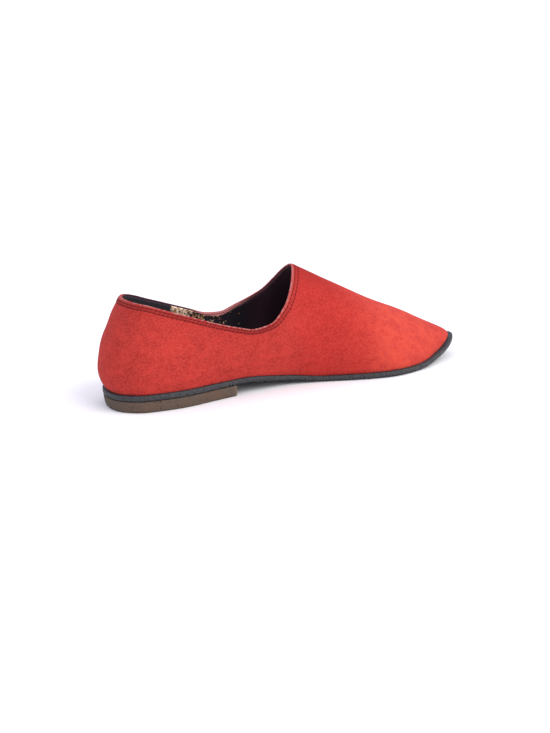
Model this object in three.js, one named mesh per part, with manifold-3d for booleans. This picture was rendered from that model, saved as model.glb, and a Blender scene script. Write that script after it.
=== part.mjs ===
// A flat suede slip-on shoe for the left foot, on an espadrille sole: a red suede upper, a braided jute midsole
// that shows through windows in a thin rubber outsole, a low heel lift and an insole.
// Millimetres. +X runs from heel to toe, +Y to the outer (lateral) side, +Z up. The shoe stands on z = 0.
import * as THREE from "three";
import Module from "manifold-3d";

const wasm = await Module();
wasm.setup();

// Driving sizes
const LENGTH = 262; // outsole, heel to toe
const GAP = 0.3; // between pieces that are glued or stitched together
const WALL = 1.8; // suede with its lining
const HEEL_LIFT = 7;
const OUTSOLE = 4;
const JUTE = 4.6; // midsole above the outsole
const INSOLE = 1.8;
const TOE_SPRING = 11; // the shoe is worn, and its toe curls up
const BREAST_MEDIAL = 81; // front face of the heel lift, at its inner and outer ends
const BREAST_LATERAL = 72;
const HEEL_TAPER = 0.9; // the lift's ground face is this much smaller all round
const MEDIAL = -1;
const LATERAL = 1;

// Rubber edge ribs
const RIB_PITCH = 2.4;
const RIB_DEPTH = 0.8;
const RIB_BAND = 6.4; // how far the ribs reach in from the edge
const RIB_START = 74.4; // just ahead of the heel lift
const RIB_TOE = 246; // from here the ribs cross the whole toe
const EDGE_BEVEL = 1.1;
const EDGE_SHOULDER = 1.4; // height of the side's widest line above the ground face

// Windows in the rubber and the braid that fills them
const WINDOW_RECESS = 1.2; // the braid lies this far above the rubber's ground face
const WINDOW_CORNER = 4.5;
const STRAND_PITCH = 7.1;
const LEAN_MEDIAL = 22; // degrees that the strands sweep forward, away from the middle bar
const LEAN_LATERAL = 12;
const GROOVE_WIDTH = 1.8;
const GROOVE_DEPTH = 1.1;
const MIDDLE_BAR = 4; // where the middle bar lies, to the outer side of the shoe's axis

// The upper's wall stands in fans round two upright hubs at heel and toe, and in plain cross-sections between
const HEEL_HUB = 40;
const TOE_HUB = 226;
const DIP = 94; // lowest point of the topline
const THROAT = 133.5; // its peak, over the instep

// A monotone curve through each column of a table, as a function of the first column
function table(columns, rows) {
  const at = rows.map((row) => row[0]);
  const curves = columns.slice(1).map((name, k) => [name, monotone(at, rows.map((row) => row[k + 1]))]);
  return Object.fromEntries(curves);
}

function monotone(xs, ys) {
  const last = xs.length - 1;
  const rise = xs.slice(1).map((x, i) => (ys[i + 1] - ys[i]) / (x - xs[i]));
  const slope = xs.map((_, i) => {
    if (i === 0) return rise[0];
    if (i === last) return rise[last - 1];
    if (rise[i - 1] * rise[i] <= 0) return 0;
    const before = xs[i] - xs[i - 1];
    const after = xs[i + 1] - xs[i];
    const a = 2 * after + before;
    const b = after + 2 * before;
    return (a + b) / (a / rise[i - 1] + b / rise[i]);
  });
  return (x) => {
    const i = THREE.MathUtils.clamp(xs.findIndex((v) => v > x) - 1, 0, last - 1);
    const k = x >= xs[last] ? last - 1 : i;
    const h = xs[k + 1] - xs[k];
    const t = THREE.MathUtils.clamp((x - xs[k]) / h, 0, 1);
    const p = (1 - t) ** 2 * ((1 + 2 * t) * ys[k] + t * h * slope[k]);
    return p + t * t * ((3 - 2 * t) * ys[k + 1] - (1 - t) * h * slope[k + 1]);
  };
}

// The outsole's plan: half widths each side of the line from heel to toe tip. Equal steps of turn() round off
// both ends, because a half width grows there with the root of the distance.
const turn = (x) => Math.acos(1 - (2 * x) / LENGTH) / Math.PI;
const unturn = (s) => (LENGTH * (1 - Math.cos(Math.PI * s))) / 2;
const PLAN = table(
  ["turn", "medial", "lateral"],
  [
    [0, 0, 0],
    [7, 20.5, 20],
    [21, 29, 27.2],
    [42, 31, 31],
    [70, 26.5, 33],
    [98, 22, 35.8],
    [119, 20.3, 39.6],
    [140, 24, 43.8],
    [161, 32, 46.6],
    [175, 37, 47],
    [192, 39.9, 44.6],
    [217, 34.8, 36.6],
    [237, 25, 28],
    [251.5, 15.8, 17.6],
    [258.5, 8.8, 10.4],
    [LENGTH, 0, 0],
  ].map(([x, medial, lateral]) => [turn(x), medial, lateral]),
);
const planHalf = (x, side) => (side === MEDIAL ? PLAN.medial : PLAN.lateral)(turn(x));

// The outsole's side profile: height of its ground face
const SOLE = table(
  ["x", "ground"],
  [
    [0, HEEL_LIFT + GAP],
    [84, HEEL_LIFT + GAP - 0.1],
    [118, 3.4],
    [148, 0],
    [208, 0],
    [236, 3.5],
    [LENGTH, TOE_SPRING],
  ],
);
const featherHeight = (x) => SOLE.ground(x) + OUTSOLE + GAP;

// The last. inset: the upper's foot inside the outsole's edge. medial, lateral: how far each wall swells out.
// rise, shoulder: where a section's two control points lie, as shares of its height and half width.
// crown, shift: height of the ridge, real ahead of the throat, and its offset to the outer side.
const LAST = table(
  ["x", "inset", "medial", "lateral", "rise", "shoulder", "crown", "shift"],
  [
    [0, 2, 18.4, 18.4, 0.25, 0.1, 100, 0],
    [HEEL_HUB, 1.6, 14, 14, 0.45, 0.4, 100, 0],
    [80, 1.3, 18, 16, 0.5, 0.44, 96, 0],
    [119, 1, 21.5, 17.7, 0.52, 0.38, 85, -0.3],
    [THROAT, 1.2, 18.5, 14.7, 0.53, 0.28, 79.2, -0.3],
    [160, 1.8, 11.3, 10, 0.55, 0.46, 65.2, -0.3],
    [190, 2.4, 4, 4, 0.56, 0.5, 50, -0.2],
    [TOE_HUB, 3, 0, 0, 0.54, 0.5, 33.4, 0.6],
    [LENGTH, 3.7, 0, 0, 0.18, 0.5, 12, 0.6],
  ],
);
const HUB_SLOPE = (LAST.crown(TOE_HUB + 1) - LAST.crown(TOE_HUB - 1)) / 2;

// Height of the topline from the heel round to the throat, on each side
const TOPLINE = table(
  ["x", "medial", "lateral"],
  [
    [0, 69.6, 69.6],
    [10, 68.4, 69.2],
    [20, 67, 67.6],
    [30, 64.6, 65.1],
    [HEEL_HUB, 61.5, 61.6],
    [70, 50.4, 50.4],
    [84, 46, 45.4],
    [DIP, 43.7, 44.6],
    [106, 45.5, 48.6],
    [117, 54.8, 53.2],
    [125, 65.8, 58.5],
    [130, 73.6, 67.3],
    [THROAT, LAST.crown(THROAT), LAST.crown(THROAT)],
  ],
);

// One spoke of the upper's wall: a Bezier curve in an upright plane, from the foot at the feather line up to
// the hub's crown. It returns points by share of the way to the topline, or to the ridge ahead of the throat.
function spoke(x, side, inset) {
  const hubX = THREE.MathUtils.clamp(x, HEEL_HUB, TOE_HUB);
  const hub = new THREE.Vector2(hubX, LAST.shift(hubX));
  const arm = new THREE.Vector2(x, side * planHalf(x, side)).sub(hub);
  const length = arm.length() - LAST.inset(x);
  arm.normalize();
  const foot = featherHeight(x);
  const swell = side === MEDIAL ? LAST.medial(x) : LAST.lateral(x);
  const rim = side === MEDIAL ? TOPLINE.medial(x) : TOPLINE.lateral(x);
  const slope = x > TOE_HUB ? HUB_SLOPE * arm.x : 0;
  const profileAt = (depth) => {
    const reach = length - depth;
    const crown = LAST.crown(hubX) - depth;
    const inner = LAST.shoulder(x) * reach;
    return new THREE.CubicBezierCurve(
      new THREE.Vector2(reach, foot),
      new THREE.Vector2(reach + swell, foot + LAST.rise(x) * (crown - foot)),
      new THREE.Vector2(inner, crown + slope * inner),
      new THREE.Vector2(0, crown),
    );
  };
  const profile = profileAt(inset);
  const top = x < THROAT ? shareAtHeight(profileAt(0), rim) : 1;
  const place = (p) => new THREE.Vector3(hub.x + arm.x * p.x, hub.y + arm.y * p.x, p.y);
  return {
    at: (share) => place(profile.getPoint(share * top)),
    atHeight: (z) => place(profile.getPoint(shareAtHeight(profile, z))),
  };
}

function shareAtHeight(profile, z) {
  let low = 0;
  let high = 1;
  for (let i = 0; i < 40; i++) {
    const mid = (low + high) / 2;
    if (profile.getPoint(mid).y < z) low = mid;
    else high = mid;
  }
  return high;
}

// Stations along the shoe: equal turns round each end, closer steps towards the throat
function steps(from, to, count) {
  return Array.from({ length: count }, (_, i) => from + ((to - from) * i) / count);
}
const STATIONS = [
  ...steps(0, turn(HEEL_HUB), 9).map(unturn),
  ...steps(HEEL_HUB, DIP, 8),
  ...steps(0, 1, 12).map((u) => THROAT - (THROAT - DIP) * (1 - u) ** 1.7),
  ...steps(THROAT, TOE_HUB, 11),
  ...steps(turn(TOE_HUB), 1, 10).map(unturn),
  LENGTH,
];

// A mesh under construction: points that coincide are one vertex, and faces without area are left out
class Shell {
  points = [];
  faces = [];
  seen = new Map();

  point(p) {
    const key = p.toArray().map((v) => Math.round(v * 1e4)).join();
    if (!this.seen.has(key)) {
      this.seen.set(key, this.points.length);
      this.points.push(p);
    }
    return this.seen.get(key);
  }

  // Two faces that meet along the shorter diagonal
  quad(a, b, c, d) {
    const [i, j, k, l] = [a, b, c, d].map((p) => this.point(p));
    const pair = a.distanceTo(c) <= b.distanceTo(d) ? [[i, j, k], [i, k, l]] : [[i, j, l], [j, k, l]];
    for (const face of pair) if (new Set(face).size === 3) this.faces.push(face);
  }

  // Quads between neighbouring rows of points; a closed row joins its end to its start
  skin(rows, closed) {
    rows.slice(1).forEach((row, r) => {
      const count = closed ? row.length : row.length - 1;
      for (let k = 0; k < count; k++) {
        const n = (k + 1) % row.length;
        this.quad(rows[r][k], rows[r][n], row[n], row[k]);
      }
    });
  }

  solid() {
    const vertProperties = new Float32Array(this.points.flatMap((p) => p.toArray()));
    const triVerts = new Uint32Array(this.faces.flat());
    const made = new wasm.Manifold(new wasm.Mesh({ numProp: 3, vertProperties, triVerts }));
    if (made.volume() > 0) return made;
    this.faces.forEach((face) => face.reverse());
    return this.solid();
  }
}

// A closed bar whose cross-section at each station is a ring of points, from heel to toe
function barOf(rings) {
  const shell = new Shell();
  shell.skin(rings, true);
  for (const [ring, flip] of [[rings[0], true], [rings.at(-1), false]]) {
    ring.slice(1, -1).forEach((p, k) => {
      const pair = flip ? [ring[k + 2], p] : [p, ring[k + 2]];
      shell.quad(ring[0], pair[0], pair[1], ring[0]);
    });
  }
  return shell.solid();
}

// An upright prism over a plan outline
function prism(outline, bottom, top) {
  const shape = new THREE.Shape(outline);
  const geometry = new THREE.ExtrudeGeometry(shape, { depth: top - bottom, bevelEnabled: false });
  geometry.translate(0, 0, bottom);
  return solidOf(geometry);
}

function solidOf(geometry) {
  const shell = new Shell();
  const flat = geometry.index ? geometry.toNonIndexed() : geometry;
  const at = flat.getAttribute("position");
  for (let i = 0; i < at.count; i += 3) {
    const [a, b, c] = [0, 1, 2].map((k) => new THREE.Vector3().fromBufferAttribute(at, i + k));
    shell.quad(a, b, c, a);
  }
  return shell.solid();
}

// A corner outline with each corner rounded by a curve that starts and ends a radius away, or half an edge
function rounded(corners, radius, shrink = 0) {
  const centre = corners.reduce((sum, p) => sum.add(p), new THREE.Vector2()).divideScalar(corners.length);
  const pulled = corners.map((p) => {
    const away = p.clone().sub(centre);
    return centre.clone().addScaledVector(away, 1 - (shrink * Math.SQRT2) / away.length());
  });
  const path = new THREE.Path();
  pulled.forEach((corner, i) => {
    const before = pulled[(i + pulled.length - 1) % pulled.length];
    const after = pulled[(i + 1) % pulled.length];
    const near = (other) => corner.clone().lerp(other, Math.min(radius / corner.distanceTo(other), 0.5));
    const start = near(before);
    const stop = near(after);
    if (i === 0) path.moveTo(start.x, start.y);
    else path.lineTo(start.x, start.y);
    path.quadraticCurveTo(corner.x, corner.y, stop.x, stop.y);
  });
  path.closePath();
  return path.getPoints(4);
}

// Plan corners of the windows: one each side of the middle bar behind and ahead of the cross bar, and one in
// the waist, which starts at the heel lift
const corners = (...pairs) => pairs.map(([x, y]) => new THREE.Vector2(x, y));
const WINDOWS = {
  rear_lateral: corners([138, 31.5], [166, 39], [190, 38.5], [191.5, 9], [151, 10]),
  front_lateral: corners([199.5, 35], [222, 27.5], [243.5, 15], [242, 6.8], [199.5, 8]),
  rear_medial: corners([140.5, -10.5], [151, 1], [191, 0.5], [191, -31], [166, -23.8]),
  front_medial: corners([199.5, 0], [244, -2], [244.5, -9], [222, -23], [200.5, -30]),
  waist: corners([74.5, 24.5], [121, 30.3], [130, 10], [130, -3], [126.5, -11], [83, -14.5]),
};

function upper() {
  const order = [
    ...STATIONS.map((x) => [x, MEDIAL]),
    ...STATIONS.slice(1, -1).reverse().map((x) => [x, LATERAL]),
  ];
  const shares = [0, 0.1, 0.2, 0.31, 0.43, 0.55, 0.67, 0.79, 0.9, 1];
  const spokes = order.map(([x, side]) => ({ x, out: spoke(x, side, 0), lining: spoke(x, side, WALL) }));
  const shell = new Shell();
  spokes.forEach((a, i) => {
    const b = spokes[(i + 1) % spokes.length];
    shares.slice(1).forEach((high, k) => {
      const low = shares[k];
      shell.quad(a.out.at(low), b.out.at(low), b.out.at(high), a.out.at(high));
      shell.quad(a.lining.at(high), b.lining.at(high), b.lining.at(low), a.lining.at(low));
    });
    shell.quad(a.out.at(0), a.lining.at(0), b.lining.at(0), b.out.at(0));
    const rim = a.x < THROAT || b.x < THROAT;
    if (rim) shell.quad(a.out.at(1), b.out.at(1), b.lining.at(1), a.lining.at(1));
  });
  return shell.solid();
}

// A layer laid inside the upper: its edge follows the lining two gaps away, between two heights above the foot
function innerLayer(low, high) {
  const rings = STATIONS.map((x) => {
    const level = featherHeight(x);
    const sides = [MEDIAL, LATERAL].map((side) => spoke(x, side, WALL + 2 * GAP));
    const [medial, lateral] = sides.map((wall) => [low, high].map((h) => {
      const edge = wall.atHeight(level + h);
      edge.z = level + h;
      return edge;
    }));
    return [medial[0], lateral[0], lateral[1], medial[1]];
  });
  return barOf(rings);
}

function outsole() {
  const plain = steps(0, turn(RIB_START), 14).map(unturn);
  const count = 2 * Math.floor((LENGTH - RIB_START) / RIB_PITCH);
  const ribbed = steps(RIB_START, LENGTH, count);
  const grooves = ribbed.map((x, k) => [x, k % 2 ? RIB_DEPTH : 0]);
  const rings = [...plain.map((x) => [x, 0]), ...grooves, [LENGTH, 0]].map(([x, lift]) => {
    const ground = SOLE.ground(x);
    const middle = x > RIB_TOE ? lift : 0;
    const side = (sign) => {
      const half = planHalf(x, sign);
      const edge = Math.max(half - EDGE_BEVEL, 0);
      const band = x > RIB_TOE ? 0 : Math.max(half - RIB_BAND, 0);
      return [
        new THREE.Vector3(x, sign * band, ground + middle),
        new THREE.Vector3(x, sign * edge, ground + lift),
        new THREE.Vector3(x, sign * half, ground + EDGE_SHOULDER + lift / 2),
        new THREE.Vector3(x, sign * half, ground + OUTSOLE),
      ];
    };
    return [...side(LATERAL), ...side(MEDIAL).reverse()];
  });
  return Object.values(WINDOWS).reduce(
    (sole, window) => sole.subtract(prism(rounded(window, WINDOW_CORNER), -OUTSOLE, 4 * OUTSOLE)),
    barOf(rings),
  );
}

// A V groove along the ground face of the braid, from one plan point to another
function groove(from, to) {
  const along = new THREE.Vector2().subVectors(to, from).normalize();
  const across = new THREE.Vector2(-along.y, along.x).multiplyScalar(GROOVE_WIDTH / 2);
  const ring = (p) => {
    const ground = SOLE.ground(p.x) + WINDOW_RECESS;
    const lip = ground - GROOVE_DEPTH;
    const wide = across.clone().multiplyScalar(2);
    return [
      new THREE.Vector3(p.x - wide.x, p.y - wide.y, lip),
      new THREE.Vector3(p.x + wide.x, p.y + wide.y, lip),
      new THREE.Vector3(p.x, p.y, ground + GROOVE_DEPTH),
    ];
  };
  return barOf([ring(from), ring(from.clone().lerp(to, 0.5)), ring(to)]);
}

// Grooves in the waist's pad, from one plan point to another: strands along the shoe, and a seam aslant
const WAIST_GROOVES = [
  [70, -7, 113, -5],
  [70, 1, 110, 2],
  [70, 9, 106, 9],
  [70, 17, 100, 17.5],
  [100, 20, 109.5, 6],
  [109.5, 6, 117, -14],
  [112, 33, 117, 21],
];

// The jute midsole: a layer inside the upper's foot, with a pad down into each window. Grooves part the pads
// into strands, which sweep forward from the middle bar under the forefoot.
function midsole() {
  const layer = innerLayer(0, JUTE);
  const pads = innerLayer(-OUTSOLE - GAP + WINDOW_RECESS, JUTE / 2);
  let jute = layer;
  for (const window of Object.values(WINDOWS)) {
    const plug = prism(rounded(window, WINDOW_CORNER, GAP), -OUTSOLE, 5 * OUTSOLE);
    jute = jute.add(pads.intersect(plug));
  }
  const cut = (from, to) => {
    jute = jute.subtract(groove(from, to));
  };
  const reach = 42;
  for (const [side, lean] of [[MEDIAL, LEAN_MEDIAL], [LATERAL, LEAN_LATERAL]]) {
    const ahead = reach * Math.tan(THREE.MathUtils.degToRad(lean));
    for (let x = 135; x < LENGTH - 20; x += STRAND_PITCH) {
      cut(new THREE.Vector2(x, MIDDLE_BAR), new THREE.Vector2(x + ahead, MIDDLE_BAR + side * reach));
    }
  }
  WAIST_GROOVES.forEach(([x, y, toX, toY]) => cut(new THREE.Vector2(x, y), new THREE.Vector2(toX, toY)));
  return jute;
}

function heelLift() {
  const rings = [...steps(0, 1, 20), 1].map((share) => {
    const sides = [[LATERAL, BREAST_LATERAL], [MEDIAL, BREAST_MEDIAL]].map(([sign, breast]) => {
      const x = unturn(share * turn(breast));
      const half = planHalf(x, sign) - GAP;
      const back = HEEL_TAPER * (1 - share);
      return [
        new THREE.Vector3(x + back, sign * Math.max(half - HEEL_TAPER, 0), 0),
        new THREE.Vector3(x, sign * Math.max(half, 0), SOLE.ground(x) - GAP),
      ];
    });
    return [sides[0][0], sides[0][1], sides[1][1], sides[1][0]];
  });
  return barOf(rings);
}

// Finishes
const finish = (color, roughness) => new THREE.MeshStandardMaterial({ color, roughness, metalness: 0 });
const RED_SUEDE = finish(0xb8332e, 0.95);
const BLACK_RUBBER = finish(0x303338, 0.7);
const BRAIDED_JUTE = finish(0x6f6048, 0.95);
const BROWN_HEEL = finish(0x5f5048, 0.8);
const DARK_LINING = finish(0x24222a, 0.9);

function meshOf(name, solid, material) {
  const made = solid.getMesh();
  const geometry = new THREE.BufferGeometry();
  geometry.setAttribute("position", new THREE.BufferAttribute(made.vertProperties, 3));
  geometry.setIndex(new THREE.BufferAttribute(made.triVerts, 1));
  geometry.computeVertexNormals();
  const mesh = new THREE.Mesh(geometry, material);
  mesh.name = name;
  return mesh;
}

const shoe = new THREE.Group();
shoe.add(
  meshOf("upper", upper(), RED_SUEDE),
  meshOf("outsole", outsole(), BLACK_RUBBER),
  meshOf("jute_midsole", midsole(), BRAIDED_JUTE),
  meshOf("heel_lift", heelLift(), BROWN_HEEL),
  meshOf("insole", innerLayer(JUTE + GAP, JUTE + GAP + INSOLE), DARK_LINING),
);

// The part's origin lies on the ground, under the middle of the shoe
const centre = new THREE.Box3().setFromObject(shoe).getCenter(new THREE.Vector3());
shoe.position.set(-centre.x, -centre.y, 0);

const part = new THREE.Group();
part.add(shoe);
export default part;
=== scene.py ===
"""A flat suede slip-on shoe for the left foot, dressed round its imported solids.

Shapes are worked out in millimetres on the shoe's own axes: x from the back of the heel to the toe, y from
the line between them to the outer side, z up from the ground. mesh_piece() puts them into the frame, in
metres.
"""
import math

import bpy
import numpy as np
from mathutils import Matrix, Vector


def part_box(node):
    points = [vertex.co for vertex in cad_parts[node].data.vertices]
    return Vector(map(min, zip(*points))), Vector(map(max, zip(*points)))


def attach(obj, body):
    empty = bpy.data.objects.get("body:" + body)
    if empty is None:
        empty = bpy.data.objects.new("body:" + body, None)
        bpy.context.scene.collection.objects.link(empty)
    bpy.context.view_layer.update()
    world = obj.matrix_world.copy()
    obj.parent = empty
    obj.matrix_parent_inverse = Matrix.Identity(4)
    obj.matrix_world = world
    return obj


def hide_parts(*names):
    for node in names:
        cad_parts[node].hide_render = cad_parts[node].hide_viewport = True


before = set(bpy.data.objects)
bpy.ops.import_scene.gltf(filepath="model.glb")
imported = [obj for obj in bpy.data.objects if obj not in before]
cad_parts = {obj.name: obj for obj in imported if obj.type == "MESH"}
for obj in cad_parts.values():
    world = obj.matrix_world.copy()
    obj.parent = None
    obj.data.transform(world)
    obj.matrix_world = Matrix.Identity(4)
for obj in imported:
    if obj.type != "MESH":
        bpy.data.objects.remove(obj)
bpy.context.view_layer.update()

bl_info = {
    "name": "Suede Slip-on Shoe",
    "version": (1, 0, 0),
    "blender": (4, 5, 0),
    "location": "View3D > Sidebar > Shoe",
    "description": "Builds a suede slip-on shoe with its espadrille sole, piece by piece",
    "category": "Object",
}

MM = 0.001
MEDIAL = -1
LATERAL = 1

# Sizes of the solids, as in the part's source
LENGTH = 262
GAP = 0.3
HEEL_LIFT = 7
OUTSOLE = 4
JUTE = 4.6
INSOLE = 1.8
TOE_SPRING = 11
BREAST_MEDIAL = 81
BREAST_LATERAL = 72
RIB_PITCH = 2.4
RIB_DEPTH = 0.8
RIB_BAND = 6.4
RIB_START = 74.4
RIB_TOE = 246
WINDOW_RECESS = 1.2
WINDOW_CORNER = 4.5
STRAND_PITCH = 7.1
STRAND_START = 135
LEAN_MEDIAL = 22
LEAN_LATERAL = 12
MIDDLE_BAR = 4
HEEL_HUB = 40
TOE_HUB = 226
DIP = 94
THROAT = 133.5

# Sizes that only the scene has: the upper's
TUCK = 1.2  # how far its foot turns in over the sole
FOOT_TURNS = (1.0, 0.6, 0.25)  # rows of that foot, as shares of a quarter turn
RIM_THROAT = THROAT + 0.6  # where the suede's rim ends in front, before its rounded lip
DENSE_ROWS = 0.8  # share of a section from which rows lie closer
THROAT_GAP = 1.5  # how much further apart the rows of stitches run at the throat
STITCH_PULL = 0.22  # depth of the lines that the stitches pull into the suede
PULL_WIDTH = 0.45
PADDING = 0.2  # swell of the suede beside those lines
PADDING_WIDTH = 0.6
UNEVENNESS = 0.28  # height of the soft swells of the worn suede
LIP_ROWS = 11
LIP_EDGE = 2  # how far the edge distance counts below nought over the lip
FAR_EDGE = 40.0  # edge distance that stands for far away
THREAD_ARCH = 0.3  # how far a stitch's middle stands above its ends
THREAD_SINK = 0.12  # how deep those ends lie in the suede

# The lining's and the insole's
LINING_THROAT = RIM_THROAT + 1.2
LINING_DROP = 0.35  # from the suede's rim down to the lining's
LINING_DIP = 1.8  # how much further down it starts from the dip on
LINING_AIR = 0.05  # between suede and lining
HEEL_LINING = 0.3  # how much thicker the heel's piece of lining is
SEAM = 57  # where that piece ends
SEAM_STEP = 0.4  # half the length of the step there
INSOLE_INSET = 2.05  # from the upper's outer face to the insole
INSOLE_EDGE = 0.9  # how far its edge turns up
INSOLE_DISH = 1.3  # how far its middle lies below that edge

# The sole's
WINDOW_DEPTH = 3.4  # how far the rubber falls away in a window
RING_CENTRE = (142.2, 5.4)  # the bare ring on the ground face
RING_RADIUS = 6.2
RING_WIDTH = 0.45
RING_DEPTH = 0.5
HEEL_WEAR = 1.1  # what is worn off the back of the heel lift
HEEL_RIPPLE = 0.05  # unevenness of its ground face
SCUFF_CENTRE = (43, -1)  # its scuffed middle
SCUFF_SIZE = (25, 19)
STRAND_DEPTH = 1.6  # of the grooves between the forefoot's strands
STRAND_TWIST = 0.18
PAD_GROOVE = 1.3  # depth of the grooves in the waist's pad
PAD_GROOVE_WIDTH = 1.1
PAD_TWIST = 0.2
PAD_INSET = 0.45  # between a window's outline and its pad
PAD_EDGE = 1.4  # how far the edge of a pad turns up
PATCH_WIDTH = 0.62  # half the width of a worn patch, in strands

WELDS_PER_MM = 2000  # points that share a cell of this grid become one
PAIRS_AT_ONCE = 2_000_000  # distances worked out together, to fit into memory


def monotone(xs, ys):
    """A cubic through the points that never overshoots: slopes are weighted harmonic means of the rises."""
    xs = np.asarray(xs, float)
    ys = np.asarray(ys, float)
    h = np.diff(xs)
    rise = np.diff(ys) / h
    slope = np.zeros_like(xs)
    slope[0] = rise[0]
    slope[-1] = rise[-1]
    a = 2 * h[1:] + h[:-1]
    b = h[1:] + 2 * h[:-1]
    same = rise[:-1] * rise[1:] > 0
    before = np.where(same, rise[:-1], 1)
    after = np.where(same, rise[1:], 1)
    slope[1:-1] = np.where(same, (a + b) / (a / before + b / after), 0)

    def at(x):
        x = np.asarray(x, float)
        k = np.clip(np.searchsorted(xs, x, side="right") - 1, 0, len(xs) - 2)
        t = np.clip((x - xs[k]) / h[k], 0, 1)
        start = (1 - t) ** 2 * ((1 + 2 * t) * ys[k] + t * h[k] * slope[k])
        return start + t * t * ((3 - 2 * t) * ys[k + 1] - (1 - t) * h[k] * slope[k + 1])

    return at


def table(columns, rows):
    """Curves through the columns of a table, by name, as functions of its first column."""
    rows = np.array(rows, float)
    return {name: monotone(rows[:, 0], rows[:, k + 1]) for k, name in enumerate(columns[1:])}


def turn(x):
    """Share of a half turn at which a half circle over the shoe's length stands above x."""
    return np.arccos(np.clip(1 - 2 * np.asarray(x, float) / LENGTH, -1, 1)) / math.pi


def unturn(share):
    """The x below a share of that half turn."""
    return LENGTH * (1 - np.cos(math.pi * np.asarray(share, float))) / 2


def smooth(low, high, x):
    """0 up to low, 1 from high, and a smooth rise between."""
    t = np.clip((np.asarray(x, float) - low) / (high - low), 0, 1)
    return t * t * (3 - 2 * t)


def bell(x, width):
    """A bell curve: 1 at nought, and 1 / e a width away from it."""
    return np.exp(-(x / width) ** 2)


PLAN_ROWS = [
    [0, 0, 0],
    [7, 20.5, 20],
    [21, 29, 27.2],
    [42, 31, 31],
    [70, 26.5, 33],
    [98, 22, 35.8],
    [119, 20.3, 39.6],
    [140, 24, 43.8],
    [161, 32, 46.6],
    [175, 37, 47],
    [192, 39.9, 44.6],
    [217, 34.8, 36.6],
    [237, 25, 28],
    [251.5, 15.8, 17.6],
    [258.5, 8.8, 10.4],
    [LENGTH, 0, 0],
]
PLAN = table(["turn", "medial", "lateral"], [[turn(x), m, l] for x, m, l in PLAN_ROWS])
SOLE = table(
    ["x", "ground"],
    [
        [0, HEEL_LIFT + GAP],
        [84, HEEL_LIFT + GAP - 0.1],
        [118, 3.4],
        [148, 0],
        [208, 0],
        [236, 3.5],
        [LENGTH, TOE_SPRING],
    ],
)
LAST = table(
    ["x", "inset", "medial", "lateral", "rise", "shoulder", "crown", "shift"],
    [
        [0, 2, 18.4, 18.4, 0.25, 0.1, 100, 0],
        [HEEL_HUB, 1.6, 14, 14, 0.45, 0.4, 100, 0],
        [80, 1.3, 18, 16, 0.5, 0.44, 96, 0],
        [119, 1, 21.5, 17.7, 0.52, 0.38, 85, -0.3],
        [THROAT, 1.2, 18.5, 14.7, 0.53, 0.28, 79.2, -0.3],
        [160, 1.8, 11.3, 10, 0.55, 0.46, 65.2, -0.3],
        [190, 2.4, 4, 4, 0.56, 0.5, 50, -0.2],
        [TOE_HUB, 3, 0, 0, 0.54, 0.5, 33.4, 0.6],
        [LENGTH, 3.7, 0, 0, 0.18, 0.5, 12, 0.6],
    ],
)
HUB_SLOPE = float(LAST["crown"](TOE_HUB + 1) - LAST["crown"](TOE_HUB - 1)) / 2
TOPLINE = table(
    ["x", "medial", "lateral"],
    [
        [0, 69.6, 69.6],
        [10, 68.4, 69.2],
        [20, 67, 67.6],
        [30, 64.6, 65.1],
        [HEEL_HUB, 61.5, 61.6],
        [70, 50.4, 50.4],
        [84, 46, 45.4],
        [DIP, 43.7, 44.6],
        [106, 45.5, 48.6],
        [117, 54.8, 53.2],
        [125, 65.8, 58.5],
        [130, 73.6, 67.3],
        [THROAT, 79.2, 79.2],
    ],
)

# Plan corners of the windows in the outsole
WINDOWS = {
    "rear_lateral": [[138, 31.5], [166, 39], [190, 38.5], [191.5, 9], [151, 10]],
    "front_lateral": [[199.5, 35], [222, 27.5], [243.5, 15], [242, 6.8], [199.5, 8]],
    "rear_medial": [[140.5, -10.5], [151, 1], [191, 0.5], [191, -31], [166, -23.8]],
    "front_medial": [[199.5, 0], [244, -2], [244.5, -9], [222, -23], [200.5, -30]],
    "waist": [[74.5, 24.5], [121, 30.3], [130, 10], [130, -3], [126.5, -11], [83, -14.5]],
}
# Grooves between the strands of the waist's pad, each from one plan point to another
WAIST_GROOVES = [
    [70, -7, 113, -5],
    [70, 1, 110, 2],
    [70, 9, 106, 9],
    [70, 17, 100, 17.5],
    [100, 20, 109.5, 6],
    [109.5, 6, 117, -14],
    [112, 33, 117, 21],
]
# Where the coat has worn off the braid: the strand's number, and the patch's middle and half length along y
WORN_PATCHES = {
    "rear_lateral": [
        [1, 25, 2.2], [2, 26, 8], [3, 25, 9.6], [4, 25.4, 13.4], [5, 22, 9], [6, 23.7, 13],
    ],
    "front_lateral": [
        [8, 28, 1.8], [9, 21, 2.4], [9, 12.3, 3.6], [10, 27, 1.6], [10, 16, 7.2], [11, 16.5, 2.8],
        [12, 12.3, 3.6],
    ],
    "rear_medial": [
        [1, -12.8, 3.2], [3, -5.3, 1.8], [4, -7.2, 3.2], [4, -15, 3.2], [5, -16.6, 5.5], [6, -9, 7.2],
        [4, -26.6, 2.2],
    ],
    "front_medial": [
        [8, -15, 6], [9, -11, 8], [10, -13, 9], [9, -19, 3.6], [11, -15, 2.6], [12, -9, 2.6],
    ],
    "waist": [],
}
# The outsole's edge, from its hidden top round to the ground face: inset, height and how much ribs cut it
EDGE = np.array([
    [7, 4, 0],
    [0.6, 4, 0],
    [0.2, 3.9, 0],
    [0, 3.6, 0],
    [0, 2.6, 0],
    [0, 1.8, 0.3],
    [0.1, 1.2, 0.55],
    [0.35, 0.7, 0.8],
    [0.75, 0.3, 0.95],
    [1.3, 0.06, 1],
    [2, 0, 1],
])
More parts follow.
